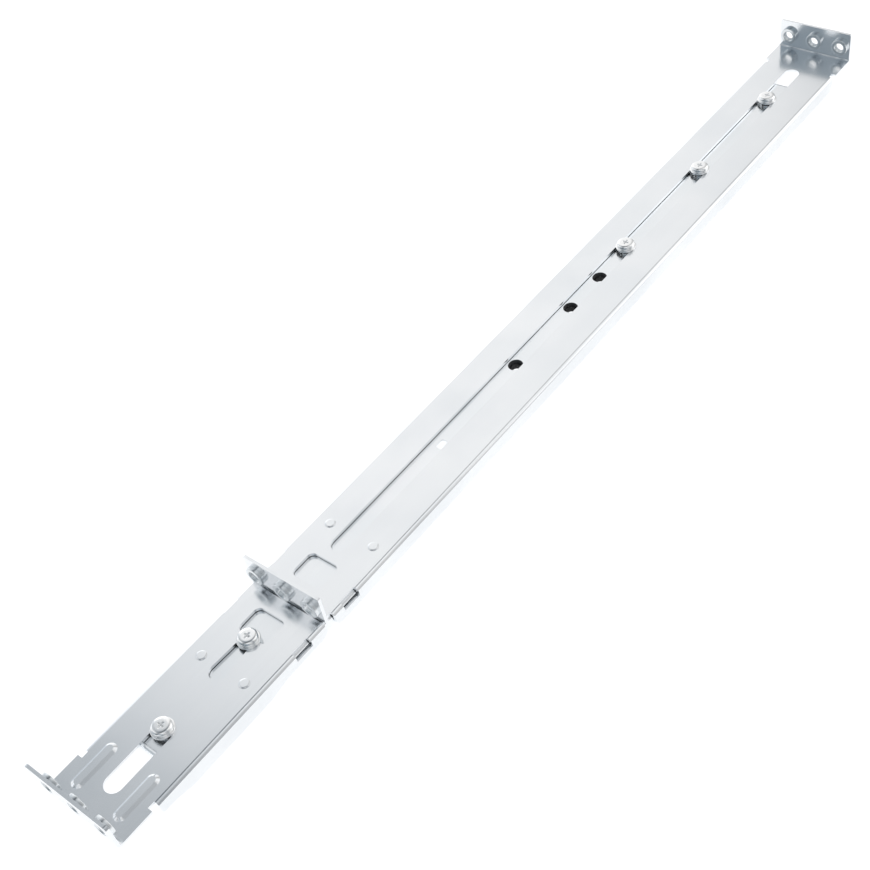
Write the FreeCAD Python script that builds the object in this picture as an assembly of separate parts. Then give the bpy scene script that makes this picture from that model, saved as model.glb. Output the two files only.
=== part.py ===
import FreeCAD, Part

import math
import os

# Telescoping rack rail of zinc-plated sheet steel, one rack unit high.
# A short front rail and a long rear rail ride end to end on one inner rail that links them.
# The inner rail has extruded, tapped collars. Five screws with washers pass through the slots
# of the front and rear rails into these collars and hold the three rails together.
# X runs from the front of the rack to its rear, Y across the rail, and Z is up.
# The origin is on the front flange's outer face, on the axis of its middle threaded hole.
# All lengths are in millimetres.

# Sheet
SHEET = 1.5                     # thickness of the three folded rails
BEND_INNER = 0.8                # inside radius of every fold
BEND_OUTER = BEND_INNER + SHEET

# Nesting of the rails
RAIL_WIDTH = 44.0               # outside width of the front and rear rails
NEST_GAP = 0.4                  # clearance between the inner rail and the legs around it
RUNNING_GAP = 0.1               # clearance between faces that slide over each other
COLLAR_RISE = 1.5               # height of the inner rail's collars above its web

# Flanges
HOLE_PITCH = 15.875             # spacing of the holes in a rack post
HOLES_PER_FLANGE = 3
HOLE_ABOVE_WEB = 7.6            # hole axes above the top of the web
FLANGE_HEIGHT = 16.0            # middle and rear flanges, above the web
FRONT_FLANGE_HEIGHT = 14.0      # front flange, above the web
FLANGE_WIDTH = 43.2             # middle and rear flanges
FRONT_FLANGE_REACH = 27.0       # front flange's long side, from the middle of the rail
FLANGE_CORNER = 2.0
EAR_GAP = 1.2                   # the long side stands this far above the bend

# Lengths along X
CLOSED_LENGTH = 584.2           # outer face of the front flange to outer face of the rear one
FRONT_RAIL_LENGTH = 118.5
BUTT_GAP = 0.7                  # front rail's end to the middle flange, fully closed
INNER_RAIL_START = 35.0
INNER_RAIL_INSET = 33.7         # inner rail's rear end to the rear flange's inner face

# Flat ends and bend reliefs
FRONT_FLAT = 18.0               # front flange's face to its bend relief
REAR_FLAT = 16.4                # rear flange's inner face to its bend relief
RELIEF_WIDTH = 3.3
RELIEF_DEPTH = 2.5
MIDDLE_RELIEF = 3.0             # relief between the middle flange's fold and the legs behind it

# Legs, measured down from the top of the web
FRONT_LEG_SHALLOW = 7.0
FRONT_LEG_DEEP = 9.3
FRONT_LEG_RAMP_START = 28.0
FRONT_LEG_RAMP = 10.0           # length of each slope between shallow and deep
FRONT_LEG_STEP_INSET = 35.5     # end of the deep stretch to the rail's rear end
REAR_LEG = 8.0
INNER_LEG = 7.6
LEG_CORNER = 3.0
REAR_LEG_TAIL = 6.0             # radius of the rear rail's last leg corner

# Slots and windows in the webs
# A lead is measured back from the middle flange's face, and an inset forward from a rear end.
FRONT_SLOT_START = 13.3
FRONT_SLOT_WIDTH = 8.0
KEYHOLE_INSET = 45.5
KEYHOLE_WIDTH = 6.8
WINDOW_LENGTH = 15.8
WINDOW_WIDTH = 18.0
WINDOW_CORNER = 3.5
FRONT_WINDOW_INSET = 22.3
REAR_WINDOW_LEAD = 10.6
REAR_SLOT_LEAD = 31.1
REAR_SLOT_INSET = 21.0
REAR_SLOT_WIDTH = 6.4

# Cut-outs through the folds beside the windows
FOLD_WINDOW_LENGTH = 9.5
FOLD_WINDOW_DEPTH = 3.8         # down the leg from the top of the web
FOLD_WINDOW_EDGE = 2.5          # in from the rail's side
FRONT_FOLD_WINDOW_INSET = 18.5
REAR_FOLD_WINDOW_LEAD = 11.1

# Pressed ribs and bosses
RIB_START = 7.0
RIB_END = 30.0
RIB_OFFSET = 12.5               # from the middle of the rail
RIB_WIDTH = 6.0
RIB_TOP = 3.2                   # width of the flat top
RIB_RISE = 1.0
BOSS_OFFSET = 12.6
BOSS_TOP = 5.0                  # diameter of the flat top
BOSS_BASE = 7.0                 # diameter where the flank meets the web
BOSS_RISE = 0.8
FRONT_BOSS_INSET = 39.5
REAR_BOSS_LEAD = 41.8

# Inner rail: leads are from its front end, insets from its rear end
FRONT_SCREW_LEADS = [10.4, 60.6]
REAR_SCREW_INSETS = [169.0, 97.0, 24.0]
SPARE_HOLE_INSETS = [266.3, 219.3, 193.8]
COLLAR_DIAMETER = 9.2
COLLAR_BORE = 5.1
COLLAR_MOUTH = 6.7              # diameter of the countersink at the top of the bore
PIERCE_INSET = 324.0            # small rectangular piercing
PIERCE_LENGTH = 5.0
PIERCE_WIDTH = 3.0
LIP_WIDTH = 30.0                # lips folded up at both ends of the inner rail

# Clinch nuts in the flanges, M5
NUT_DIAMETER = 9.5
NUT_HEIGHT = 2.0
NUT_THREAD = 4.3
NUT_SHANK = 6.3
CLINCH_GAP = 0.02               # around the shank in its sheet hole
SHANK_SHORT = 0.1               # shank's end below the flange's face

# Screws and washers, M5
SCREW_DIAMETER = 5.0
SCREW_TIP = 6.5                 # screw's end, below the top of the web
HEAD_DIAMETER = 8.8
HEAD_HEIGHT = 2.3
HEAD_RIM = 1.1                  # straight part of the head's side
HEAD_CROWN = 3.0                # radius of the flat top
RECESS_SPAN = 4.6
RECESS_ARM = 1.1
RECESS_DEPTH = 1.5
RECESS_TAPER = 0.45             # span at the bottom as a share of the span at the top
WASHER_DIAMETER = 10.4
WASHER_BORE = 5.3
WASHER_THICKNESS = 0.8

# Heights, from the hole axes
WEB_TOP = -HOLE_ABOVE_WEB
WEB_UNDER = WEB_TOP - SHEET
COLLAR_TOP = WEB_UNDER - RUNNING_GAP
INNER_TOP = COLLAR_TOP - COLLAR_RISE
INNER_UNDER = INNER_TOP - SHEET
WASHER_SEAT = WEB_TOP + RUNNING_GAP
HEAD_SEAT = WASHER_SEAT + WASHER_THICKNESS

# Places along X
MIDDLE_FACE = FRONT_RAIL_LENGTH + BUTT_GAP
REAR_INNER_FACE = CLOSED_LENGTH - SHEET
FRONT_LEGS_START = FRONT_FLAT + RELIEF_WIDTH
MIDDLE_LEGS_START = MIDDLE_FACE + BEND_OUTER + MIDDLE_RELIEF
REAR_LEGS_END = REAR_INNER_FACE - REAR_FLAT - RELIEF_WIDTH
INNER_WIDTH = RAIL_WIDTH - 2 * SHEET - 2 * NEST_GAP
INNER_RAIL_END = REAR_INNER_FACE - INNER_RAIL_INSET
FRONT_SCREWS = [INNER_RAIL_START + lead for lead in FRONT_SCREW_LEADS]
REAR_SCREWS = [INNER_RAIL_END - inset for inset in REAR_SCREW_INSETS]
SPARE_HOLES = [INNER_RAIL_END - inset for inset in SPARE_HOLE_INSETS]
PIERCE_X = INNER_RAIL_END - PIERCE_INSET
FRONT_SLOT_END = FRONT_SCREWS[0] + SCREW_DIAMETER / 2 + RUNNING_GAP
FRONT_WINDOW_START = FRONT_RAIL_LENGTH - FRONT_WINDOW_INSET
KEYHOLE_START = FRONT_RAIL_LENGTH - KEYHOLE_INSET
FRONT_FOLD_WINDOW_START = FRONT_RAIL_LENGTH - FRONT_FOLD_WINDOW_INSET
FRONT_BOSS_X = FRONT_RAIL_LENGTH - FRONT_BOSS_INSET
FRONT_LEG_STEP = FRONT_RAIL_LENGTH - FRONT_LEG_STEP_INSET
REAR_WINDOW_START = MIDDLE_FACE + REAR_WINDOW_LEAD
REAR_FOLD_WINDOW_START = MIDDLE_FACE + REAR_FOLD_WINDOW_LEAD
REAR_SLOT_START = MIDDLE_FACE + REAR_SLOT_LEAD
REAR_SLOT_END = REAR_INNER_FACE - REAR_SLOT_INSET
REAR_BOSS_X = MIDDLE_FACE + REAR_BOSS_LEAD

BIG = 100.0                     # reaches past any cross-section
OVER = 1.0                      # how far cutting tools run past a face


def vec(x, y, z):
    return FreeCAD.Vector(x, y, z)


def rounded_face(corners):
    """Closed flat face through (point, radius) corners, with a tangent arc at each rounded one."""
    edges = []
    ends = []
    count = len(corners)
    for i, (point, radius) in enumerate(corners):
        before = corners[i - 1][0]
        after = corners[(i + 1) % count][0]
        back = (before - point).normalize()
        ahead = (after - point).normalize()
        if radius <= 0:
            ends.append((point, point))
            continue
        half = back.getAngle(ahead) / 2
        reach = radius / math.tan(half)
        start = point + back * reach
        end = point + ahead * reach
        bisector = (back + ahead).normalize()
        middle = point + bisector * (radius / math.sin(half) - radius)
        edges.append(Part.Arc(start, middle, end).toShape())
        ends.append((start, end))
    for i, (_, leave) in enumerate(ends):
        arrive = ends[(i + 1) % count][0]
        if (arrive - leave).Length > 1e-6:
            edges.append(Part.makeLine(leave, arrive))
    return Part.Face(Part.Wire(Part.__sortEdges__(edges)))


def block(x0, x1, y0, y1, z0, z1):
    return Part.makeBox(x1 - x0, y1 - y0, z1 - z0, vec(x0, y0, z0))


def plan_prism(corners, z0, z1):
    """Prism over (x, y, radius) corners between two heights."""
    face = rounded_face([(vec(x, y, z0), r) for x, y, r in corners])
    return face.extrude(vec(0, 0, z1 - z0))


def side_prism(corners, y0, y1):
    """Prism over (x, z, radius) corners seen from the side."""
    face = rounded_face([(vec(x, y0, z), r) for x, z, r in corners])
    return face.extrude(vec(0, y1 - y0, 0))


def end_prism(corners, x0, x1):
    """Prism over (y, z, radius) corners seen from the end."""
    face = rounded_face([(vec(x0, y, z), r) for y, z, r in corners])
    return face.extrude(vec(x1 - x0, 0, 0))


def window_cutter(x0, x1, width, radius, z0, z1):
    half = width / 2
    corners = [(x0, -half, radius), (x1, -half, radius), (x1, half, radius), (x0, half, radius)]
    return plan_prism(corners, z0, z1)


def slot_cutter(x0, x1, width, z0, z1):
    """Slot with full round ends."""
    radius = width / 2
    middle = block(x0 + radius, x1 - radius, -radius, radius, z0, z1)
    ends = [Part.makeCylinder(radius, z1 - z0, vec(x, 0, z0)) for x in (x0 + radius, x1 - radius)]
    return middle.fuse(ends).removeSplitter()


def through_web(cutter, *sizes):
    """A web cutter that runs past both faces of the front and rear rails' webs."""
    return cutter(*sizes, WEB_UNDER - OVER, WEB_TOP + OVER)


def channel(x0, x1, width, top, depth):
    """Folded channel, legs down, with rounded folds."""
    half = width / 2
    bottom = top - depth
    inside = half - SHEET
    corners = [
        (-half, bottom, 0),
        (-half, top, BEND_OUTER),
        (half, top, BEND_OUTER),
        (half, bottom, 0),
        (inside, bottom, 0),
        (inside, top - SHEET, BEND_INNER),
        (-inside, top - SHEET, BEND_INNER),
        (-inside, bottom, 0),
    ]
    return end_prism(corners, x0, x1)


def folded_flange(face_x, web_end, top, outline):
    """Web end folded up into a flange whose outer face is at face_x.

    The fold's outline is cut to the flange's own shape seen from the end.
    """
    way = 1 if web_end > face_x else -1
    inner_x = face_x + way * SHEET
    section = [
        (face_x, top, 0),
        (face_x, WEB_UNDER, BEND_OUTER),
        (web_end, WEB_UNDER, 0),
        (web_end, WEB_TOP, 0),
        (inner_x, WEB_TOP, BEND_INNER),
        (inner_x, top, 0),
    ]
    folded = side_prism(section, -BIG, BIG)
    ends = sorted((face_x, web_end))
    return folded.common(end_prism(outline, ends[0] - OVER, ends[1] + OVER))


def plain_outline(top):
    """Middle and rear flanges, seen from the end: the flange stands on a wider web."""
    web = RAIL_WIDTH / 2
    side = FLANGE_WIDTH / 2
    step = WEB_TOP + BEND_INNER
    return [
        (-web, WEB_UNDER - OVER, 0),
        (web, WEB_UNDER - OVER, 0),
        (web, WEB_TOP, 0),
        (side, step, 0),
        (side, top, FLANGE_CORNER),
        (-side, top, FLANGE_CORNER),
        (-side, step, 0),
        (-web, WEB_TOP, 0),
    ]


def eared_outline(top):
    """Front flange, seen from the end: it reaches past the web on one side."""
    web = RAIL_WIDTH / 2
    ear = WEB_TOP + BEND_INNER + EAR_GAP
    return [
        (-web, WEB_UNDER - OVER, 0),
        (web, WEB_UNDER - OVER, 0),
        (web, ear, 0),
        (FRONT_FLANGE_REACH, ear, FLANGE_CORNER),
        (FRONT_FLANGE_REACH, top, FLANGE_CORNER),
        (-web, top, FLANGE_CORNER),
    ]


def hole_places():
    """Y of the holes in a flange, from one side to the other."""
    middle = (HOLES_PER_FLANGE - 1) / 2
    return [(i - middle) * HOLE_PITCH for i in range(HOLES_PER_FLANGE)]


def flange_hole_cutters(face_x):
    """Round holes for the clinch nuts' shanks, straight through the flange at face_x."""
    radius = NUT_SHANK / 2 + CLINCH_GAP
    start = face_x - SHEET - OVER
    length = 2 * (SHEET + OVER)
    return [Part.makeCylinder(radius, length, vec(start, y, 0), vec(1, 0, 0)) for y in hole_places()]


def both_sides(x0, x1, depth, z0, z1):
    """Blocks that cut into both edges of a rail."""
    inner = RAIL_WIDTH / 2 - depth
    outer = RAIL_WIDTH / 2 + OVER
    return [block(x0, x1, inner, outer, z0, z1), block(x0, x1, -outer, -inner, z0, z1)]


def relief_cutters(x0, width):
    return both_sides(x0, x0 + width, RELIEF_DEPTH, WEB_TOP - BIG, WEB_TOP + OVER)


def fold_window_cutters(x0):
    """Openings through both folds, from the web's edge down into the legs."""
    low = WEB_TOP - FOLD_WINDOW_DEPTH
    return both_sides(x0, x0 + FOLD_WINDOW_LENGTH, FOLD_WINDOW_EDGE, low, WEB_TOP + OVER)


def ridge(x0, x1, y, base, top, low, high):
    """Flat-topped ridge with sloping flanks and round ends. It is a cone when its ends meet."""
    first = x0 + base / 2
    last = x1 - base / 2
    ends = [Part.makeCone(base / 2, top / 2, high - low, vec(x, y, low)) for x in (first, last)]
    if last - first < 1e-6:
        return ends[0]
    section = [
        (y - base / 2, low, 0),
        (y + base / 2, low, 0),
        (y + top / 2, high, 0),
        (y - top / 2, high, 0),
    ]
    return end_prism(section, first, last).fuse(ends).removeSplitter()


def press_up(rail, x0, x1, offset, base, top, rise):
    """Press a pair of ridges up out of the web, each hollow below by as much as it stands up."""
    wall = SHEET / 2
    for y in (-offset, offset):
        raised = ridge(x0, x1, y, base, top, WEB_TOP, WEB_TOP + rise)
        hollow = ridge(x0 + wall, x1 - wall, y, base - SHEET, top - SHEET, WEB_UNDER, WEB_UNDER + rise)
        rail = rail.fuse(raised).cut(hollow)
    return rail


def press_bosses(rail, x):
    half = BOSS_BASE / 2
    return press_up(rail, x - half, x + half, BOSS_OFFSET, BOSS_BASE, BOSS_TOP, BOSS_RISE)


def leg_outline_front():
    """Side view kept of the front rail: shallow legs with one deeper stretch."""
    top = WEB_TOP + OVER
    shallow = WEB_TOP - FRONT_LEG_SHALLOW
    deep = WEB_TOP - FRONT_LEG_DEEP
    ramp_end = FRONT_LEG_RAMP_START + FRONT_LEG_RAMP
    step_end = FRONT_LEG_STEP + FRONT_LEG_RAMP
    return [
        (FRONT_LEGS_START, top, 0),
        (FRONT_LEGS_START, shallow, LEG_CORNER / 2),
        (FRONT_LEG_RAMP_START, shallow, 0),
        (ramp_end, deep, LEG_CORNER),
        (FRONT_LEG_STEP, deep, LEG_CORNER),
        (step_end, shallow, 0),
        (FRONT_RAIL_LENGTH, shallow, LEG_CORNER),
        (FRONT_RAIL_LENGTH, top, 0),
    ]


def leg_outline_rear():
    """Side view kept of the rear rail, with a large radius on its last corner."""
    top = WEB_TOP + OVER
    low = WEB_TOP - REAR_LEG
    return [
        (MIDDLE_LEGS_START, top, 0),
        (MIDDLE_LEGS_START, low, LEG_CORNER),
        (REAR_LEGS_END, low, REAR_LEG_TAIL),
        (REAR_LEGS_END, top, 0),
    ]


def front_rail():
    depth = FRONT_LEG_DEEP + OVER
    folded = channel(FRONT_LEGS_START, FRONT_RAIL_LENGTH, RAIL_WIDTH, WEB_TOP, depth)
    folded = folded.common(side_prism(leg_outline_front(), -BIG, BIG))
    top = WEB_TOP + FRONT_FLANGE_HEIGHT
    flange = folded_flange(0.0, FRONT_LEGS_START + OVER, top, eared_outline(top))
    flange = flange.cut(both_sides(FRONT_LEGS_START, FRONT_LEGS_START + 2 * OVER, RELIEF_DEPTH,
                                   WEB_TOP - BIG, WEB_TOP + OVER))
    rail = folded.fuse(flange)
    cutters = relief_cutters(FRONT_FLAT, RELIEF_WIDTH)
    cutters += fold_window_cutters(FRONT_FOLD_WINDOW_START)
    cutters += flange_hole_cutters(0.0)
    window_end = FRONT_WINDOW_START + WINDOW_LENGTH
    cutters += [
        through_web(slot_cutter, FRONT_SLOT_START, FRONT_SLOT_END, FRONT_SLOT_WIDTH),
        through_web(slot_cutter, KEYHOLE_START, FRONT_WINDOW_START + KEYHOLE_WIDTH, KEYHOLE_WIDTH),
        through_web(window_cutter, FRONT_WINDOW_START, window_end, WINDOW_WIDTH, WINDOW_CORNER),
    ]
    rail = press_up(rail.cut(cutters), RIB_START, RIB_END, RIB_OFFSET, RIB_WIDTH, RIB_TOP, RIB_RISE)
    return press_bosses(rail, FRONT_BOSS_X).removeSplitter()


def rear_rail():
    depth = REAR_LEG + OVER
    folded = channel(MIDDLE_LEGS_START, REAR_LEGS_END, RAIL_WIDTH, WEB_TOP, depth)
    folded = folded.common(side_prism(leg_outline_rear(), -BIG, BIG))
    top = WEB_TOP + FLANGE_HEIGHT
    outline = plain_outline(top)
    middle = folded_flange(MIDDLE_FACE, MIDDLE_LEGS_START + OVER, top, outline)
    rear = folded_flange(CLOSED_LENGTH, REAR_LEGS_END - OVER, top, outline)
    trims = both_sides(MIDDLE_LEGS_START, MIDDLE_LEGS_START + 2 * OVER, RELIEF_DEPTH,
                       WEB_TOP - BIG, WEB_TOP + OVER)
    trims += both_sides(REAR_LEGS_END - 2 * OVER, REAR_LEGS_END, RELIEF_DEPTH,
                        WEB_TOP - BIG, WEB_TOP + OVER)
    rail = folded.fuse([middle.cut(trims), rear.cut(trims)])
    cutters = relief_cutters(MIDDLE_LEGS_START - MIDDLE_RELIEF, MIDDLE_RELIEF)
    cutters += relief_cutters(REAR_LEGS_END, RELIEF_WIDTH)
    cutters += fold_window_cutters(REAR_FOLD_WINDOW_START)
    cutters += flange_hole_cutters(MIDDLE_FACE)
    cutters += flange_hole_cutters(REAR_INNER_FACE)
    window_end = REAR_WINDOW_START + WINDOW_LENGTH
    cutters += [
        through_web(slot_cutter, REAR_SLOT_START, REAR_SLOT_END, REAR_SLOT_WIDTH),
        through_web(window_cutter, REAR_WINDOW_START, window_end, WINDOW_WIDTH, WINDOW_CORNER),
    ]
    return press_bosses(rail.cut(cutters), REAR_BOSS_X).removeSplitter()


def end_lip(end_x, way):
    """Web end folded up into a low lip; way points from the end into the rail."""
    half = LIP_WIDTH / 2
    inside = end_x + way * SHEET
    root = end_x + way * (BEND_OUTER + OVER)
    section = [
        (end_x, COLLAR_TOP, 0),
        (end_x, INNER_UNDER, BEND_OUTER),
        (root, INNER_UNDER, 0),
        (root, INNER_TOP, 0),
        (inside, INNER_TOP, BEND_INNER),
        (inside, COLLAR_TOP, 0),
    ]
    return side_prism(section, -half, half)


def collar_bore(x):
    """Bore through a collar, with a countersunk mouth."""
    mouth = COLLAR_MOUTH / 2
    bore = COLLAR_BORE / 2
    low = INNER_UNDER - OVER
    shaft = Part.makeCylinder(bore, COLLAR_TOP + OVER - low, vec(x, 0, low))
    sink = Part.makeCone(bore, mouth, mouth - bore, vec(x, 0, COLLAR_TOP - mouth + bore))
    return shaft.fuse(sink)


def inner_rail():
    start = INNER_RAIL_START + BEND_OUTER
    end = INNER_RAIL_END - BEND_OUTER
    depth = INNER_TOP - WEB_TOP + INNER_LEG
    rail = channel(start, end, INNER_WIDTH, INNER_TOP, depth)
    places = FRONT_SCREWS + SPARE_HOLES + REAR_SCREWS
    height = COLLAR_TOP - INNER_TOP
    additions = [Part.makeCylinder(COLLAR_DIAMETER / 2, height, vec(x, 0, INNER_TOP)) for x in places]
    additions += [end_lip(INNER_RAIL_START, 1), end_lip(INNER_RAIL_END, -1)]
    half_length = PIERCE_LENGTH / 2
    half_width = PIERCE_WIDTH / 2
    cutters = [collar_bore(x) for x in places]
    cutters.append(block(PIERCE_X - half_length, PIERCE_X + half_length, -half_width, half_width,
                         INNER_UNDER - OVER, INNER_TOP + OVER))
    return rail.fuse(additions).cut(cutters).removeSplitter()


def turned(profile, base, axis):
    """Solid turned from (radius, height) points about an axis that starts at base."""
    points = [vec(radius, 0, height) for radius, height in profile]
    wire = Part.makePolygon(points + points[:1])
    solid = Part.Face(wire).revolve(vec(0, 0, 0), vec(0, 0, 1), 360)
    turn = FreeCAD.Rotation(vec(0, 0, 1), axis)
    solid.Placement = FreeCAD.Placement(base, turn)
    return solid


def clinch_nut(seat_x, y, way):
    """Self-clinching nut whose head sits on the flange at seat_x and points along way."""
    bore = NUT_THREAD / 2
    body = NUT_DIAMETER / 2
    shank = NUT_SHANK / 2
    profile = [
        (bore, NUT_HEIGHT),
        (body, NUT_HEIGHT),
        (body, 0),
        (shank, 0),
        (shank, SHANK_SHORT - SHEET),
        (bore, SHANK_SHORT - SHEET),
    ]
    return turned(profile, vec(seat_x, y, 0), vec(way, 0, 0))


def cross_wire(x, z, span, arm):
    """Outline of a plus sign, centred on the screw's axis."""
    s = span / 2
    a = arm / 2
    quarter = [(s, -a), (s, a), (a, a)]
    points = []
    for turn in range(4):
        cosine = round(math.cos(turn * math.pi / 2))
        sine = round(math.sin(turn * math.pi / 2))
        points += [vec(x + px * cosine - py * sine, px * sine + py * cosine, z) for px, py in quarter]
    return Part.makePolygon(points + points[:1])


def screw(x):
    """Pan-head screw with a cross recess; its thread is a plain cylinder."""
    rim = HEAD_DIAMETER / 2
    shank = SCREW_DIAMETER / 2
    tip = WEB_TOP - SCREW_TIP - HEAD_SEAT
    profile = [
        (0, tip),
        (shank, tip),
        (shank, 0),
        (rim, 0),
        (rim, HEAD_RIM),
        (HEAD_CROWN, HEAD_HEIGHT),
        (0, HEAD_HEIGHT),
    ]
    solid = turned(profile, vec(x, 0, HEAD_SEAT), vec(0, 0, 1))
    top = HEAD_SEAT + HEAD_HEIGHT
    wide = cross_wire(x, top, RECESS_SPAN, RECESS_ARM)
    narrow = cross_wire(x, top - RECESS_DEPTH, RECESS_SPAN * RECESS_TAPER, RECESS_ARM * RECESS_TAPER)
    return solid.cut(Part.makeLoft([wide, narrow], True, True))


def washer(x):
    outer = WASHER_DIAMETER / 2
    inner = WASHER_BORE / 2
    profile = [
        (inner, 0),
        (outer, 0),
        (outer, WASHER_THICKNESS),
        (inner, WASHER_THICKNESS),
    ]
    return turned(profile, vec(x, 0, WASHER_SEAT), vec(0, 0, 1))


def build():
    """Every piece of the rail by name."""
    pieces = {
        "front_rail": front_rail(),
        "rear_rail": rear_rail(),
        "inner_rail": inner_rail(),
    }
    seats = {
        "front": (SHEET, 1),
        "middle": (MIDDLE_FACE, -1),
        "rear": (REAR_INNER_FACE, -1),
    }
    for flange, (seat_x, way) in seats.items():
        for i, y in enumerate(hole_places(), start=1):
            pieces[f"{flange}_flange_nut_{i}"] = clinch_nut(seat_x, y, way)
    for i, x in enumerate(FRONT_SCREWS + REAR_SCREWS, start=1):
        pieces[f"adjusting_screw_{i}"] = screw(x)
        pieces[f"washer_{i}"] = washer(x)
    return pieces


os.makedirs("parts", exist_ok=True)
for name, shape in build().items():
    if len(shape.Solids) != 1 or not shape.isValid():
        raise ValueError(f"{name} is not one valid solid")
    shape.exportStep(f"parts/{name}.step")
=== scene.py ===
# %% [markdown]
# # Looks for a telescoping server rack rail
# The rail is folded from zinc-plated sheet steel. Its CAD model gives every size and place,
# and this lesson adds what CAD leaves plain: finishes, finer fasteners, light and a camera.
# We load the CAD frame first, because every new piece is placed from it.

# %% Load the frame
import math

import bmesh
import bpy
import numpy as np
from mathutils import Matrix, Vector


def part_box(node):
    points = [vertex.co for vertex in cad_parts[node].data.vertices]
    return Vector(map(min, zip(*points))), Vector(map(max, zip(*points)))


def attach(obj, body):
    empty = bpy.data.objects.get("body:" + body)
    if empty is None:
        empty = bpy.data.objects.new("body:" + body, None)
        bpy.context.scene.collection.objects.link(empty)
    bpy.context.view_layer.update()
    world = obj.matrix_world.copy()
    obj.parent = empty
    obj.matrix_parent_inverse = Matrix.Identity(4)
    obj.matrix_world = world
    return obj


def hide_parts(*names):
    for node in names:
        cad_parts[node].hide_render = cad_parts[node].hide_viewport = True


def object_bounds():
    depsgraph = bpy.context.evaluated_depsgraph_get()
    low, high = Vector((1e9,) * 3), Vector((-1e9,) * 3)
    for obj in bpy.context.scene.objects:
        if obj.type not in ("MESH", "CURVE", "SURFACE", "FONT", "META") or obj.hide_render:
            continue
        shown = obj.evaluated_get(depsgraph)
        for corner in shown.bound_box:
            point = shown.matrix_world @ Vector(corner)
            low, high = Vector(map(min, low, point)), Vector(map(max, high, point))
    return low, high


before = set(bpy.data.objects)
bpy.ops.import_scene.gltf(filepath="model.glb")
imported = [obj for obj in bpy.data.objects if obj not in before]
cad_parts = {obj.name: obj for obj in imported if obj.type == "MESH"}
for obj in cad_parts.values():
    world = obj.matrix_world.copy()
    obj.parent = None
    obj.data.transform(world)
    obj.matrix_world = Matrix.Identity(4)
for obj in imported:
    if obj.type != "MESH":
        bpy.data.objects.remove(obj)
CAD_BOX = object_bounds()
MM = 0.001
print("CAD box:", [round(v, 4) for v in (*CAD_BOX[0], *CAD_BOX[1])])

# %% [markdown]
# ## Colours and helpers
# Colours are written as sRGB hex values, as a paint chart gives them. Blender works in linear
# light, so one function turns a hex value to linear. A second adds one shader node at a time
# with its settings and links, which keeps each material readable as a list of steps.

# %% Colour and node helpers


def linear(hex_value):
    """sRGB hex to linear RGBA: small values divide by 12.92, the rest follow a 2.4 power."""
    channels = [int(hex_value[i:i + 2], 16) / 255 for i in (0, 2, 4)]
    return [c / 12.92 if c <= 0.04045 else ((c + 0.055) / 1.055) ** 2.4 for c in channels] + [1.0]


def add_node(tree, kind, settings=None, links=None, **attributes):
    """Adds one node, sets its sockets and attributes, and links the sockets named in links."""
    node = tree.nodes.new(kind)
    for name, value in attributes.items():
        setattr(node, name, value)
    for name, value in (settings or {}).items():
        node.inputs[name].default_value = value
    for name, source in (links or {}).items():
        tree.links.new(source, node.inputs[name])
    return node


def ramp(tree, source, stops):
    """Colour ramp from (position, hex) stops."""
    node = add_node(tree, "ShaderNodeValToRGB", links={"Fac": source})
    elements = node.color_ramp.elements
    for element, (position, colour) in zip(elements, stops):
        element.position = position
        element.color = linear(colour)
    for position, colour in stops[2:]:
        elements.new(position).color = linear(colour)
    return node.outputs["Color"]


print("white is", [round(c, 3) for c in linear("ffffff")])

# %% [markdown]
# ## Zinc-plated cold-rolled sheet
# Bright zinc with a clear passivate: a cool, slightly blue grey mirror with soft reflections.
# Three things break up its reflections. Rolling leaves fine lines along the strip, the plating
# bath leaves faint clouds some centimetres across, and the grain of the sheet gives a slight
# orange peel. All are built from noise read in object coordinates, in real millimetres.

# %% Sheet finish
CLOUD_SIZE = 38 * MM            # clouds left by the plating bath
ROLL_LINE = 0.9 * MM            # rolling lines; the real ones are finer, drawn coarser to show
ROLL_STRETCH = 0.02             # how much slower the lines change along the strip
PEEL_SIZE = 4.0 * MM            # orange peel of the sheet's grain
PEEL_DEPTH = 0.025 * MM
TINT_SPAN = (0.3, 0.7)          # noise values between which a tint goes from dark to light


def noise(tree, place, size, detail, stretch=(1, 1, 1)):
    """Noise whose features are about size metres across, stretched along each axis."""
    scale = [s / size for s in stretch]
    mapped = add_node(tree, "ShaderNodeMapping", {"Scale": scale}, {"Vector": place})
    settings = {"Scale": 1.0, "Detail": detail, "Roughness": 0.5}
    made = add_node(tree, "ShaderNodeTexNoise", settings, {"Vector": mapped.outputs["Vector"]})
    return made.outputs["Fac"]


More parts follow.
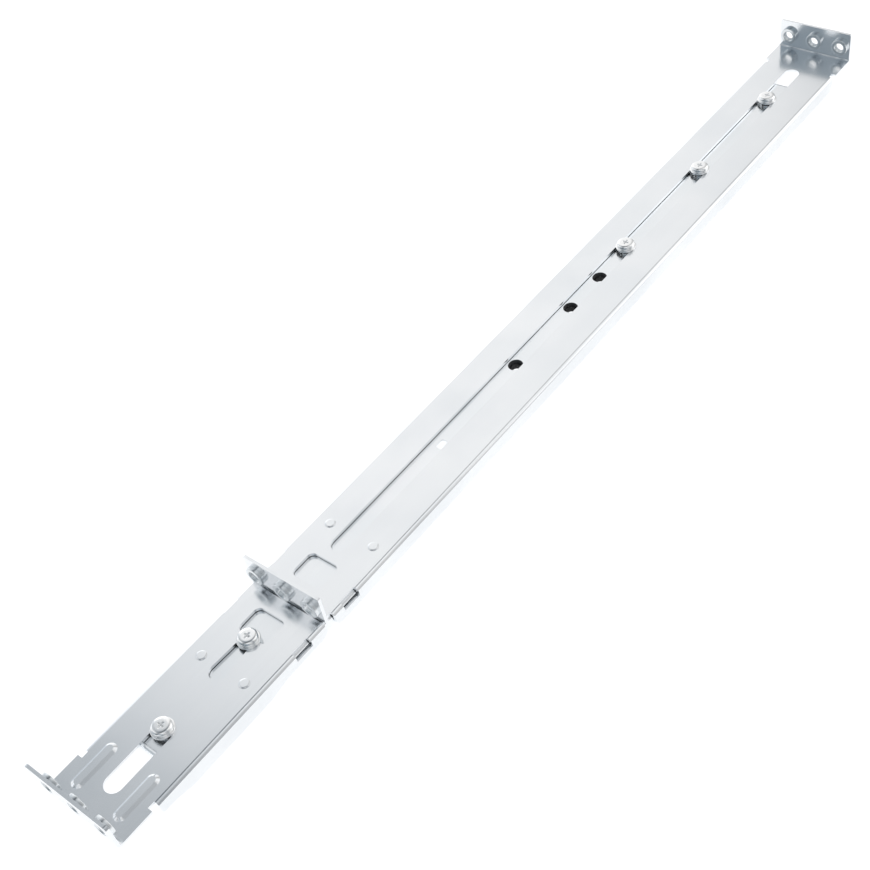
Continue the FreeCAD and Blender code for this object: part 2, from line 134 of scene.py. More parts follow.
def zinc(name, dark, light, smooth, rough, lines, peel):
    """Zinc plating: clouds choose the tint, clouds and rolling lines the roughness.

    Clouds plus lines times the strip noise run from smooth to rough. The grain makes the bump,
    whose strength is peel.
    """
    material = bpy.data.materials.new(name)
    material.use_nodes = True
    tree = material.node_tree
    tree.nodes.clear()
    place = add_node(tree, "ShaderNodeTexCoord").outputs["Object"]
    clouds = noise(tree, place, CLOUD_SIZE, 3.0)
    strip = noise(tree, place, ROLL_LINE, 2.0, (ROLL_STRETCH, 1, 1))
    grain = noise(tree, place, PEEL_SIZE, 2.0)
    tint = ramp(tree, clouds, list(zip(TINT_SPAN, (dark, light))))
    mixed = add_node(tree, "ShaderNodeMath", {1: lines}, {0: strip}, operation="MULTIPLY")
    both = add_node(tree, "ShaderNodeMath", links={0: clouds, 1: mixed.outputs[0]},
                    operation="ADD")
    # The two noises together reach from 0.3 to about 0.75, and more where the lines are strong.
    span = {"From Min": 0.3, "From Max": 0.75 + lines * 0.7, "To Min": smooth, "To Max": rough}
    gloss = add_node(tree, "ShaderNodeMapRange", span, {"Value": both.outputs[0]})
    bump = add_node(tree, "ShaderNodeBump", {"Strength": peel, "Distance": PEEL_DEPTH},
                    {"Height": grain})
    shader = add_node(tree, "ShaderNodeBsdfPrincipled", {"Metallic": 1.0},
                      {"Base Color": tint, "Roughness": gloss.outputs["Result"],
                       "Normal": bump.outputs["Normal"]})
    add_node(tree, "ShaderNodeOutputMaterial", links={"Surface": shader.outputs["BSDF"]})
    return material


SHEET = zinc("zinc plated cold-rolled sheet", "e7eaed", "f2f4f6", 0.13, 0.24, 0.35, 0.02)
INNER_SHEET = zinc("freshly zinc plated sheet", "e9edf0", "f6f8fa", 0.16, 0.28, 0.35, 0.02)
NUT = zinc("zinc plated turned clinch nut", "d4d9dc", "e8ebed", 0.18, 0.30, 0.1, 0.05)
FASTENER = zinc("zinc plated cold-headed fastener", "f1f3f4", "fcfcfc", 0.14, 0.26, 0.0, 0.08)
print("finishes:", SHEET.name, "|", NUT.name, "|", FASTENER.name)

# %% [markdown]
# ## Sheet pieces
# The folded rails start from the shape CAD gave them. What CAD lacks is the slightly broken edge
# that blanking and tumbling leave, and that thin bright line is most of what makes sheet metal
# look real. We copy each rail, merge its loose triangles, move the points that need it, bevel
# its sharp edges a little, and let the copy stand for the CAD node.

# %% Rails with broken edges
EDGE_BREAK = 0.18 * MM
PUNCHED_EDGE = 0.50 * MM        # the die rolls the edges of the outer rails over
EDGE_STEPS = 3
EDGE_ANGLE = math.radians(35)   # edges that turn more than this are broken
SHARP_ANGLE = math.radians(50)  # edges that turn more than this are shaded as corners
FLAT_ANGLE = math.radians(0.5)  # faces that differ by less than this are joined
MERGE_GAP = 0.002 * MM


def edit_only(piece):
    """Selects and activates this piece alone, so that edit mode can't touch a CAD mesh."""
    bpy.ops.object.select_all(action="DESELECT")
    bpy.context.view_layer.objects.active = piece
    piece.select_set(True)


def merged(piece):
    """Merges points that coincide and joins flat areas into single faces."""
    edit_only(piece)
    bpy.ops.object.mode_set(mode="EDIT")
    bpy.ops.mesh.select_all(action="SELECT")
    bpy.ops.mesh.remove_doubles(threshold=MERGE_GAP)
    bpy.ops.mesh.dissolve_limited(angle_limit=FLAT_ANGLE)
    bpy.ops.object.mode_set(mode="OBJECT")
    piece.select_set(False)


def cleaned_copy(node, name, reshape):
    """Copy of a CAD node, merged, then reshaped: reshape takes and returns its points in mm."""
    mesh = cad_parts[node].data.copy()
    mesh.name = name
    piece = bpy.data.objects.new(name, mesh)
    bpy.context.scene.collection.objects.link(piece)
    edit_only(piece)
    bpy.ops.mesh.customdata_custom_splitnormals_clear()
    merged(piece)
    points = np.empty(len(mesh.vertices) * 3)
    mesh.vertices.foreach_get("co", points)
    points = reshape(points.reshape(-1, 3) / MM) * MM
    mesh.vertices.foreach_set("co", points.ravel())
    mesh.update()
    merged(piece)
    mesh.shade_smooth()
    mesh.set_sharp_from_angle(angle=SHARP_ANGLE)
    return piece


def break_edges(piece, width):
    """Small round bevel on every edge sharper than EDGE_ANGLE, then face-weighted normals."""
    bevel = piece.modifiers.new("broken edge", "BEVEL")
    bevel.width = width
    bevel.segments = EDGE_STEPS
    bevel.limit_method = "ANGLE"
    bevel.angle_limit = EDGE_ANGLE
    bevel.use_clamp_overlap = True
    weighted = piece.modifiers.new("flats stay flat", "WEIGHTED_NORMAL")
    weighted.mode = "FACE_AREA"
    weighted.weight = 100
    weighted.keep_sharp = True
    return piece


def finish_piece(piece, material, body, slot, *nodes):
    """Gives a piece its one finish, lets it ride on its body and stand for its CAD nodes."""
    piece.data.materials.clear()
    piece.data.materials.append(material)
    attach(piece, body)
    if nodes:
        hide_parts(*nodes)


print("edges are broken by", EDGE_BREAK / MM, "mm")

# %% [markdown]
# ## Punched slots, windows and locating bumps
# A press punches the long slots, the two windows and the small locating bumps. The CAD model has
# them a touch narrow and exactly on the rail's middle, so here each one takes its real outline.
# Only the points on its edge move: a round-ended slot scales about the tip of each end, which
# keeps the ends true half circles, and a window stretches from one rectangle to another. The
# corners of the upright flanges, rounder in the CAD model, draw in towards their tips.

# %% Punched openings
WEB_TOP = -7.6                  # faces of the outer webs, mm
WEB_UNDER = -9.1
WEB = (-9.2, -7.5)              # heights between which all points of these webs lie
NEAR = 0.01                     # a point this close to an edge counts as on it

# Each slot: (front tip, rear tip, half width) in the CAD model, then its sides (low y, high y).
FRONT_SLOT = ((13.3, 48.0, 4.0), (-4.7, 4.2))
KEYHOLE_SLOT = ((73.0, 200.0, 3.4), (-3.4, 5.0))
LONG_SLOT = ((150.3, 561.7, 3.2), (-3.2, 5.3))
# Each window: (x0, x1, y0, y1) in the CAD model, then the same as punched.
FRONT_WINDOW = ((96.2, 112.0, -9.0, 9.0), (96.9, 110.5, -7.2, 9.3))
REAR_WINDOW = ((129.8, 145.6, -9.0, 9.0), (130.8, 144.7, -7.2, 9.3))
FRONT_BUMPS = 79.0              # each pair of bumps lies at this x
REAR_BUMPS = 161.0
BUMP_Y = 12.6
BUMP_REACH = 3.7
BUMP_SCALE = 0.74               # as punched over CAD, along the web
BUMP_HEIGHT = 0.55              # the same, across it
FLANGE_HALF_WIDTH = 22.0        # middle and rear flanges
FLANGE_TOP = 8.4
CORNER_REACH = 2.01             # the CAD radius and a little
CORNER_SHARE = 0.4              # corner radius as made over the CAD radius


def slot_edge(points, old, new):
    """Moves a slot's edge; old is (x0, x1, half width), new is (low y, high y).

    With s = new half width / old one: x' = tip + (x - tip) s at each end, y' = middle + y s.
    """
    x0, x1, half = old
    middle, scale = (new[0] + new[1]) / 2, (new[1] - new[0]) / 2 / half
    x, y, z = points.T
    edge = (x > x0 - NEAR) & (x < x1 + NEAR) & (np.abs(y) < half + NEAR)
    edge &= (z > WEB[0]) & (z < WEB[1])
    front = edge & (x < x0 + half + NEAR)
    back = edge & (x > x1 - half - NEAR)
    points[front, 0] = x0 + (x[front] - x0) * scale
    points[back, 0] = x1 + (x[back] - x1) * scale
    points[edge, 1] = middle + y[edge] * scale
    return points


def window_edge(points, old, new):
    """Moves a window's edge from one (x0, x1, y0, y1) rectangle to another, in proportion."""
    x, y, z = points.T
    edge = (x > old[0] - NEAR) & (x < old[1] + NEAR) & (y > old[2] - NEAR) & (y < old[3] + NEAR)
    edge &= (z > WEB[0]) & (z < WEB[1])
    for axis in (0, 1):
        low, high = old[2 * axis:2 * axis + 2]
        share = (points[edge, axis] - low) / (high - low)
        points[edge, axis] = new[2 * axis] + share * (new[2 * axis + 1] - new[2 * axis])
    return points


def bump_edge(points, x, y):
    """Scales a bump by BUMP_SCALE towards its middle and by BUMP_HEIGHT from either face."""
    middle = np.array([x, y])
    near = np.hypot(*(points[:, :2] - middle).T) < BUMP_REACH
    points[near, :2] = middle + (points[near, :2] - middle) * BUMP_SCALE
    z = points[:, 2]
    # The bump stands above the upper face, and its hollow above the lower one.
    for face, top in ((WEB_TOP, WEB_TOP + 1), (WEB_UNDER, WEB_TOP - 0.1)):
        raised = near & (z > face) & (z < top)
        points[raised, 2] = face + (z[raised] - face) * BUMP_HEIGHT
    return points


def square_corners(points):
    """Draws the rounded corners in towards their tips: y' = tip + (y - tip) share, z' alike."""
    y, z = points[:, 1], points[:, 2]
    near = (np.abs(y) > FLANGE_HALF_WIDTH - CORNER_REACH) & (z > FLANGE_TOP - CORNER_REACH)
    tip = np.sign(y[near]) * FLANGE_HALF_WIDTH
    points[near, 1] = tip + (y[near] - tip) * CORNER_SHARE
    points[near, 2] = FLANGE_TOP + (z[near] - FLANGE_TOP) * CORNER_SHARE
    return points


def front_openings(points):
    """Window, keyhole slot, front slot and bumps of the front rail."""
    points = window_edge(points, *FRONT_WINDOW)
    points = slot_edge(points, *KEYHOLE_SLOT)
    points = slot_edge(points, *FRONT_SLOT)
    for y in (-BUMP_Y, BUMP_Y):
        points = bump_edge(points, FRONT_BUMPS, y)
    return points


def rear_openings(points):
    """Flange corners, window, long slot and bumps of the rear rail."""
    points = square_corners(points)
    points = window_edge(points, *REAR_WINDOW)
    points = slot_edge(points, *LONG_SLOT)
    for y in (-BUMP_Y, BUMP_Y):
        points = bump_edge(points, REAR_BUMPS, y)
    return points


for node, body, reshape in (("front_rail", "front", front_openings),
                            ("rear_rail", "rear", rear_openings)):
    piece = break_edges(cleaned_copy(node, f"{node}_sheet", reshape), PUNCHED_EDGE)
    finish_piece(piece, SHEET, body, "zinc_sheet", node)
    print(piece.name, len(piece.data.polygons), "faces before its bevel")

# %% [markdown]
# ## The inner rail
# The rails nest with hardly any air between them: the inner web lies right under the outer webs,
# its tapped collars are drawn downwards, and both its ends fold down. In the CAD model the web
# lies a sheet lower with the collars on top. So the copy's web rises until it meets the height
# of the collars, which then vanish into it, and the collars and end folds are made anew below.

# %% Inner rail web
INNER_TOP = -9.45               # upper face of the inner web, mm
INNER_UNDER = -10.95            # a sheet of 1.5 mm lower
FOLD_END = -13.1                # under the web's side folds, where the legs are straight
MOUTH = -10.05                  # the collars' countersinks lie above this height and stay
RISE = 1.25                     # how far the web and its folds rise
SINK = 0.25                     # how far the countersinks drop, to stay flush with the web
HOLES = {45.4: 0.0, 95.6: 0.0, 282.7: 1.7, 329.7: 1.6, 355.2: 2.2, 380.0: 2.0, 452.0: 3.2,
         525.0: 3.4}            # each collar's place in the CAD model and how far back it moves
SPARE = (282.7, 329.7, 355.2)   # collars that hold no screw, with a wider bore
SPARE_BORE = 3.7                # their radius at the web
CAD_BORE_REACH = 3.4            # the CAD bores' edges lie within this radius
HOLE_Y = 0.8                    # the row of collars lies this far to the long side
HOLE_REACH = 4.8                # a collar's points lie within this radius
WEB_ENDS = (37.3, 546.7)        # where the end folds begin
FOLD_GAP = 0.05                 # the web stops this far short of them


def inner_web(points):
    """The web and its folds rise by RISE, at most to INNER_TOP; collars move along the rail.

    A spare hole's edge goes out to SPARE_BORE: x' = place + (x - place) bore / radius.
    """
    x, y, z = points.T
    rising = (z > FOLD_END) & (z < MOUTH)
    sinking = z > MOUTH
    points[rising, 2] = np.minimum(z[rising] + RISE, INNER_TOP)
    points[sinking, 2] = z[sinking] - SINK
    for place in SPARE:
        radius = np.hypot(x - place, y)
        bore = radius < CAD_BORE_REACH
        points[bore, 0] = place + (x[bore] - place) * SPARE_BORE / radius[bore]
        points[bore, 1] = y[bore] * SPARE_BORE / radius[bore]
    for place, back in HOLES.items():
        near = np.hypot(points[:, 0] - place, points[:, 1]) < HOLE_REACH
        points[near, 0] += back
        points[near, 1] += HOLE_Y
    return points


def cut_ends(piece, low, high):
    """Cuts the piece off square at two places along the rail and closes the cuts."""
    work = bmesh.new()
    work.from_mesh(piece.data)
    for place, way in ((low, -1), (high, 1)):
        everything = work.verts[:] + work.edges[:] + work.faces[:]
        cut = bmesh.ops.bisect_plane(work, geom=everything, plane_co=(place * MM, 0, 0),
                                     plane_no=(way, 0, 0), clear_outer=True)
        rim = [item for item in cut["geom_cut"] if isinstance(item, bmesh.types.BMEdge)]
        bmesh.ops.contextual_create(work, geom=rim)
    bmesh.ops.recalc_face_normals(work, faces=work.faces[:])
    work.to_mesh(piece.data)
    work.free()
    piece.data.set_sharp_from_angle(angle=SHARP_ANGLE)
    return piece


inner = cleaned_copy("inner_rail", "inner_rail_sheet", inner_web)
cut_ends(inner, WEB_ENDS[0] + FOLD_GAP, WEB_ENDS[1] - FOLD_GAP)
finish_piece(break_edges(inner, EDGE_BREAK), INNER_SHEET, "inner", "zinc_sheet", "inner_rail")
print("inner rail:", len(inner.data.polygons), "faces before its bevel")

# %% [markdown]
# ## End folds
# A fold is a profile swept across the rail: a straight run, a quarter turn and a short drop, each
# traced once outside and once inside at the sheet's thickness.

# %% Folds at the inner rail's ends
FOLD_OUTER = 2.3                # outer and inner bend radius, a sheet apart, mm
FOLD_INNER = 0.8
FOLD_DROP = 4.2                 # from the top of the web to the edge of the fold, mm
FOLD_WIDTH = 30.0
FOLD_STEPS = 9


def end_fold(name, root, way):
    """Profile: outer quarter turn, drop, back up, inner quarter turn; then swept along Y."""
    turn = np.linspace(math.pi / 2, 0, FOLD_STEPS)
    arcs = []
    for radius in (FOLD_OUTER, FOLD_INNER):
        arcs.append(np.stack([radius * np.cos(turn), radius * np.sin(turn) - FOLD_OUTER], -1))
    drops = np.array([(FOLD_OUTER, -FOLD_DROP), (FOLD_INNER, -FOLD_DROP)])
    profile = np.vstack([arcs[0], drops, arcs[1][::-1]])
    across = np.linspace(-FOLD_WIDTH / 2, FOLD_WIDTH / 2, 2)
    rows = [np.column_stack([root + way * profile[:, 0], np.full(len(profile), y),
                             INNER_TOP + profile[:, 1]]) for y in across]
    points = np.vstack(rows) * MM
    count = len(profile)
    sides = [(i, (i + 1) % count, count + (i + 1) % count, count + i) for i in range(count)]
    caps = [(base + i, base + i + 1, base + count - 2 - i, base + count - 1 - i)
            for base in (0, count) for i in range(FOLD_STEPS)]
    mesh = bpy.data.meshes.new(name)
    mesh.from_pydata(points.tolist(), [], sides + caps)
    piece = bpy.data.objects.new(name, mesh)
    bpy.context.scene.collection.objects.link(piece)
    return piece


FOLDS = [end_fold("inner_rail_front_fold", WEB_ENDS[0], -1),
         end_fold("inner_rail_rear_fold", WEB_ENDS[1], 1)]
print("end folds:", len(FOLDS))

# %% [markdown]
# ## Turned and headed pieces
# Nuts, washers and screws are round, so each is a surface of two parameters: the way along a
# profile, and the angle about the axis. We compute the whole grid at once with numpy. A helper
# closes the seam by joining the last column of points to the first.

# %% Surfaces of revolution
TURNS = 64
ARC_STEPS = 4                   # points along each rounded corner of a profile
POLE_GAP = 0.0005 * MM


def grid_mesh(name, points, closed_profile):
    """Quad mesh from a (rows, columns, 3) grid; columns always wrap, rows wrap if closed."""
    rows, columns = points.shape[:2]
    index = np.arange(rows * columns).reshape(rows, columns)
    low = index if closed_profile else index[:-1]
    high = np.roll(index, -1, 0) if closed_profile else index[1:]
    quads = np.stack([low, np.roll(low, -1, 1), np.roll(high, -1, 1), high], -1).reshape(-1, 4)
    mesh = bpy.data.meshes.new(name)
    mesh.from_pydata(points.reshape(-1, 3).tolist(), [], quads.tolist())
    mesh.validate()
    piece = bpy.data.objects.new(name, mesh)
    bpy.context.scene.collection.objects.link(piece)
    mesh.shade_smooth()
    return piece


def recalculated(piece):
    """Merges poles and seams, then turns every face outwards."""
    edit_only(piece)
    bpy.ops.object.mode_set(mode="EDIT")
    bpy.ops.mesh.select_all(action="SELECT")
    bpy.ops.mesh.remove_doubles(threshold=POLE_GAP)
    bpy.ops.mesh.normals_make_consistent(inside=False)
    bpy.ops.object.mode_set(mode="OBJECT")
    piece.select_set(False)
    return piece


def rounded_profile(corners, radii):
    """Closed (r, z) profile whose corners are rounded, each by its own reach.

    From start to end: start (1 - t)^2 + corner 2 t (1 - t) + end t^2, a soft parabola.
    """
    corners = np.array(corners, float)
    before = np.roll(corners, 1, 0) - corners
    after = np.roll(corners, -1, 0) - corners
    before /= np.linalg.norm(before, axis=1)[:, None]
    after /= np.linalg.norm(after, axis=1)[:, None]
    reach = np.array(radii, float)[:, None, None]
    t = np.linspace(0, 1, ARC_STEPS)[None, :, None]
    start = corners[:, None] + before[:, None] * reach
    end = corners[:, None] + after[:, None] * reach
    blend = start * (1 - t) ** 2 + corners[:, None] * 2 * t * (1 - t) + end * t ** 2
    return blend.reshape(-1, 2)


def turned(name, profile, centre, axis):
    """Revolves a closed (r, z) profile: x = r cos a, y = r sin a, then turned so z is the axis."""
    angle = np.linspace(0, 2 * math.pi, TURNS, endpoint=False)
    radius, height = profile[:, 0][:, None], profile[:, 1][:, None]
    local = np.stack([radius * np.cos(angle), radius * np.sin(angle), height + 0 * angle], -1)
    turn = np.array(Vector((0, 0, 1)).rotation_difference(Vector(axis)).to_matrix())
    return recalculated(grid_mesh(name, local @ turn.T + np.array(centre), True))


def box_of(node):
    """Low and high corner of a CAD node's box, in metres."""
    low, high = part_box(node)
    return np.array(low), np.array(high)


print("a turned piece has", TURNS, "columns")

# %% [markdown]
# ## Drawn collars
# A punch draws each collar down out of the web, and a tap cuts its thread afterwards. The bore and
# its funnel are painted near black, a painted shade for the dark inside of the hole. The bore's
# radius follows a triangle wave of the height and the angle together, which climbs one pitch a
# turn.

# %% Collars and end folds
PITCH = 0.8 * MM                # M5 coarse thread
THREAD_DEPTH = 0.30 * MM
COLLAR_THREAD = 0.5 * THREAD_DEPTH
COLLAR_OUTER = 4.3              # radii, mm
COLLAR_BORE = 2.52
COLLAR_DROP = 3.6               # how far the collars reach below the inner web, mm
COLLAR_LIP = (0.4, 0.2)         # rounding of the lip, outside and at the bore
COLLAR_END = INNER_UNDER - COLLAR_DROP
FUNNEL_TOP = INNER_TOP - 0.1    # the bore stops just under the web's own hole
MOUTH_PLAY = 0.04               # and, in a spare collar, just inside it
COLLAR_ROWS = 48
# The bores' near-black tint is painted shade, broken into faint patches of this size.
BORE_SHADE_PATCH = 1.5 * MM             # patches in the bores' painted shade


def thread_wave(height, angle):
    """Triangle wave from 0 to 1 that repeats every pitch and climbs one pitch a turn."""
    phase = np.mod(height / PITCH - angle / (2 * math.pi), 1)
    return 1 - np.abs(2 * phase - 1)


def painted_shade_bore():
    """Tapped bore painted near black, a painted shade for the dark inside of the hole, in faint
    patches.
    """
    material = bpy.data.materials.new("tapped bore painted near black as shade")
    material.use_nodes = True
    tree = material.node_tree
    tree.nodes.clear()
    place = add_node(tree, "ShaderNodeTexCoord").outputs["Object"]
    # Painted shade: the near-black tint stands for the shade deep in the hole, not for the steel's
    # colour.
    tint = ramp(tree, noise(tree, place, BORE_SHADE_PATCH, 2.0),
                list(zip(TINT_SPAN, ("0c0c0e", "1c1c1f"))))
    shader = add_node(tree, "ShaderNodeBsdfPrincipled", {"Roughness": 0.45},
                      {"Base Color": tint})
    add_node(tree, "ShaderNodeOutputMaterial", links={"Surface": shader.outputs["BSDF"]})
    return material


BORE_PAINTED_SHADE = painted_shade_bore()


def collar(name, x, mouth):
    """Ring profile: outside down to a rounded lip, then back up the threaded bore to the top.

    Within the web's thickness the bore opens as a funnel: r = bore + (mouth - bore) share ** 1.5.
    """
    lip = rounded_profile([(COLLAR_OUTER, INNER_UNDER), (COLLAR_OUTER, COLLAR_END),
                           (COLLAR_BORE, COLLAR_END)], [0, *COLLAR_LIP])[ARC_STEPS:]
    angle = np.linspace(0, 2 * math.pi, TURNS, endpoint=False)[None]
    rise = np.linspace(COLLAR_END + COLLAR_LIP[1], FUNNEL_TOP, COLLAR_ROWS)[:, None]
    share = np.clip((rise - INNER_UNDER) / (FUNNEL_TOP - INNER_UNDER), 0, 1)
    thread = COLLAR_THREAD / MM * thread_wave(rise * MM, angle) * (share == 0)
    wall = COLLAR_BORE + (mouth - COLLAR_BORE) * share ** 1.5 - thread
    first = np.array([[COLLAR_OUTER, INNER_UNDER + 0.1]])
    outside = np.vstack([first, lip])
    radius = np.vstack([np.repeat(outside[:, :1], TURNS, 1), wall])
    height = np.vstack([np.repeat(outside[:, 1:], TURNS, 1), np.repeat(rise, TURNS, 1)])
    points = np.stack([x + radius * np.cos(angle), HOLE_Y + radius * np.sin(angle), height], -1)
    return grid_mesh(name, points * MM, False), len(outside)


for number, (place, back) in enumerate(HOLES.items(), 1):
    mouth = SPARE_BORE - MOUTH_PLAY if place in SPARE else COLLAR_BORE
    piece, outside_rows = collar(f"inner_rail_collar_{number}", place + back, mouth)
    finish_piece(piece, INNER_SHEET, "inner", "zinc_sheet")
    # The bore and its funnel take the near-black painted shade.
    piece.data.materials.append(BORE_PAINTED_SHADE)
    row = np.arange(len(piece.data.polygons)) // TURNS
    piece.data.polygons.foreach_set("material_index", (row >= outside_rows).astype(np.int32))
for piece in FOLDS:
    recalculated(piece)
    piece.data.shade_smooth()
    piece.data.set_sharp_from_angle(angle=SHARP_ANGLE)
    finish_piece(break_edges(piece, EDGE_BREAK), INNER_SHEET, "inner", "zinc_sheet")
print("collars:", len(HOLES))

# %% [markdown]
# ## Flat washers
# A stamped washer has one rolled-over edge and one square one, with a plain bore. Its profile is
# a thin rectangle with small corner radii.

# %% Washers
WASHER_BORE = 5.3 * MM
WASHER_ROUNDING = [0.05 * MM, 0.05 * MM, 0.25 * MM, 0.12 * MM]


def at_collar(centre):
    """A fastener's middle, moved with the collar it is screwed into."""
    place = min(HOLES, key=lambda x: abs(x * MM - centre[0]))
    return centre + np.array([HOLES[place] * MM, HOLE_Y * MM, 0])


for i in range(1, 6):
    low, high = box_of(f"washer_{i}")
    centre = at_collar((low + high) / 2)
    outer = (high[0] - low[0]) / 2
    half = (high[2] - low[2]) / 2
    corners = [(WASHER_BORE / 2, -half), (outer, -half), (outer, half), (WASHER_BORE / 2, half)]
    profile = rounded_profile(corners, WASHER_ROUNDING)
    piece = turned(f"washer_{i}_stamped", profile, centre, (0, 0, 1))
    finish_piece(piece, FASTENER, "inner", "zinc_fastener", f"washer_{i}")
print("washers:", 5)

# %% [markdown]
# ## Clinch nuts
# A self-clinching nut is turned from bar: a plain round head, a smaller shank pressed into the
# sheet, and a threaded bore. The thread is a triangle wave of the angle and the height together,
# so its crest climbs one pitch each turn.

# %% Clinch nuts
NUT_HEAD = 2.0 * MM             # height of the round head
NUT_SHANK = 3.15 * MM           # radii
NUT_BORE = 2.45 * MM
NUT_MOUTH = 0.55 * MM           # how much wider the bore's chamfer opens
NUT_ROUNDING = [0.01 * MM, 0.3 * MM, 0.03 * MM, 0.03 * MM, 0.05 * MM, 0.01 * MM]
NUT_THREAD = 0.9 * THREAD_DEPTH
THREAD_ROWS = 60


def clinch_nut(name, node, way):
    """Closed profile down the outside, then up a bore whose radius follows the thread wave."""
    low, high = box_of(node)
    outer = (high[1] - low[1]) / 2
    length = high[0] - low[0]
    middle = (low + high) / 2
    face = high[0] if way > 0 else low[0]
    corners = [(NUT_BORE + NUT_MOUTH, 0), (outer, 0), (outer, -NUT_HEAD), (NUT_SHANK, -NUT_HEAD),
               (NUT_SHANK, -length), (NUT_BORE + NUT_MOUTH, -length)]
    outside = rounded_profile(corners, NUT_ROUNDING)
    angle = np.linspace(0, 2 * math.pi, TURNS, endpoint=False)[None]
    depth = np.linspace(-length, 0, THREAD_ROWS)[:, None]
    mouth = np.minimum(np.abs(depth), np.abs(depth + length)) / NUT_MOUTH
    wall = NUT_BORE + NUT_THREAD * thread_wave(depth, angle)
    inside = np.maximum(wall, NUT_BORE + NUT_MOUTH * (1 - np.minimum(mouth, 1)))
    radius = np.vstack([np.repeat(outside[:, :1], TURNS, 1), inside])
    height = np.vstack([np.repeat(outside[:, 1:], TURNS, 1), np.repeat(depth, TURNS, 1)])
    across = [radius * np.cos(angle), radius * np.sin(angle)]
    points = np.stack([face + way * height, middle[1] + across[0], middle[2] + across[1]], -1)
    return recalculated(grid_mesh(name, points, True))


for flange, body, way in (("front", "front", 1), ("middle", "rear", -1), ("rear", "rear", -1)):
    for i in (1, 2, 3):
        node = f"{flange}_flange_nut_{i}"
        finish_piece(clinch_nut(f"{node}_threaded", node, way), NUT, body, "zinc_nut", node)
print("clinch nuts:", 9)

# %% [markdown]
# ## Adjusting screws
# A pan head is cold-formed: a short straight rim, a crown that flattens towards the middle, and a
# cross recess punched into it. Head and recess are one height field over the head's disc. The
# crown falls off with the eighth power of the radius, and the recess subtracts two crossed bars
# that narrow towards the bottom. Below the head the shank carries the same thread wave.

# %% Screws
HEAD_RINGS = 46
HEAD_COLUMNS = 128
HEAD_HEIGHT = 2.3 * MM          # to the top of the crown
HEAD_SIDE = 1.65 * MM           # height of the straight rim
CROWN_POWER = 8
SHANK_RADIUS = 2.5 * MM
SCREW_THREAD = 1.6 * THREAD_DEPTH
RIM_PLAY = 0.001 * MM           # the crown stops a hair inside the rim
RIM_FOOT = 0.15 * MM            # small chamfer under the rim, its height and its width
UNDERCUT = 0.1 * MM
THREAD_START = 0.2 * MM         # plain neck below the head
TIP_HEIGHT = 0.3 * MM           # chamfer at the tip
TIP_INSET = 0.5 * MM
CROSS_SPAN = 1.7 * MM           # half the span of the recess
CROSS_ARM = 0.34 * MM           # half the width of each arm at the top
CROSS_DEPTH = 1.0 * MM
CROSS_WALL = (0.3, 1.15)        # width of the sloping wall and where it ends, in arm widths


def cross_recess(x, y):
    """Depth of the cross: each arm is a bar whose walls slope in, deepest at the centre.

    depth = CROSS_DEPTH (1 - reach^2) wall, with the wall falling from 1 to 0 at the arm's side.
    """
    reach = np.hypot(x, y) / CROSS_SPAN
    fall = np.clip(1 - reach ** 2, 0, 1)
    arm = np.minimum(np.abs(x), np.abs(y)) / CROSS_ARM
    wall = np.clip((CROSS_WALL[1] - arm) / CROSS_WALL[0], 0, 1)
    return CROSS_DEPTH * wall * fall


def screw(name, node):
    """Head as a height field on a disc, then rim, underside and a threaded shank.

    crown = side + (height - side) (1 - (r / rim)^CROWN_POWER), less the cross recess.
    """
    low, high = box_of(node)
    centre = at_collar((low + high) / 2)
    rim = (high[0] - low[0]) / 2
    angle = np.linspace(0, 2 * math.pi, HEAD_COLUMNS, endpoint=False)[None]
    disc = np.sqrt(np.linspace(0, 1, HEAD_RINGS))[:, None] * (rim - RIM_PLAY)
    crown = HEAD_SIDE + (HEAD_HEIGHT - HEAD_SIDE) * (1 - (disc / rim) ** CROWN_POWER)
    x, y = disc * np.cos(angle), disc * np.sin(angle)
    seat = high[2] - HEAD_HEIGHT
    top = seat + crown - cross_recess(x, y)
    depth = np.linspace(seat - THREAD_START, low[2] + TIP_HEIGHT, THREAD_ROWS * 2)[:, None]
    cut = np.clip((INNER_TOP * MM - depth) / PITCH, 0, 1)
    thread = SHANK_RADIUS - SCREW_THREAD * (1 - thread_wave(depth, angle)) * cut

    def ring(value):
        """One row of the grid, the same all the way round."""
        return np.full((1, HEAD_COLUMNS), value)

    radii = np.vstack([disc + 0 * angle, ring(rim), ring(rim - UNDERCUT), ring(SHANK_RADIUS),
                       thread, ring(SHANK_RADIUS - TIP_INSET), ring(0.0)])
    heights = np.vstack([top, ring(seat + RIM_FOOT), ring(seat), ring(seat),
                         depth + 0 * angle, ring(low[2]), ring(low[2])])
    points = np.stack([centre[0] + radii * np.cos(angle), centre[1] + radii * np.sin(angle),
                       heights], -1)
    return recalculated(grid_mesh(name, points, False))


for i in range(1, 6):
    node = f"adjusting_screw_{i}"
    finish_piece(screw(f"{node}_headed", node), FASTENER, "inner", "zinc_fastener", node)
print("screws:", 5)

# %% [markdown]
# ## Floor and light
# The rail lies on a white lightbox floor. Zinc shows what surrounds it, so the light is a tent
# whose wall changes tone with direction. One ramp of tones runs along the rail. On the rail's
# long side a second one, which follows the height, darkens it overhead. A greyer seam crosses
# the tent, two soft windows glow in it, and one large lamp gives the folds their highlight.

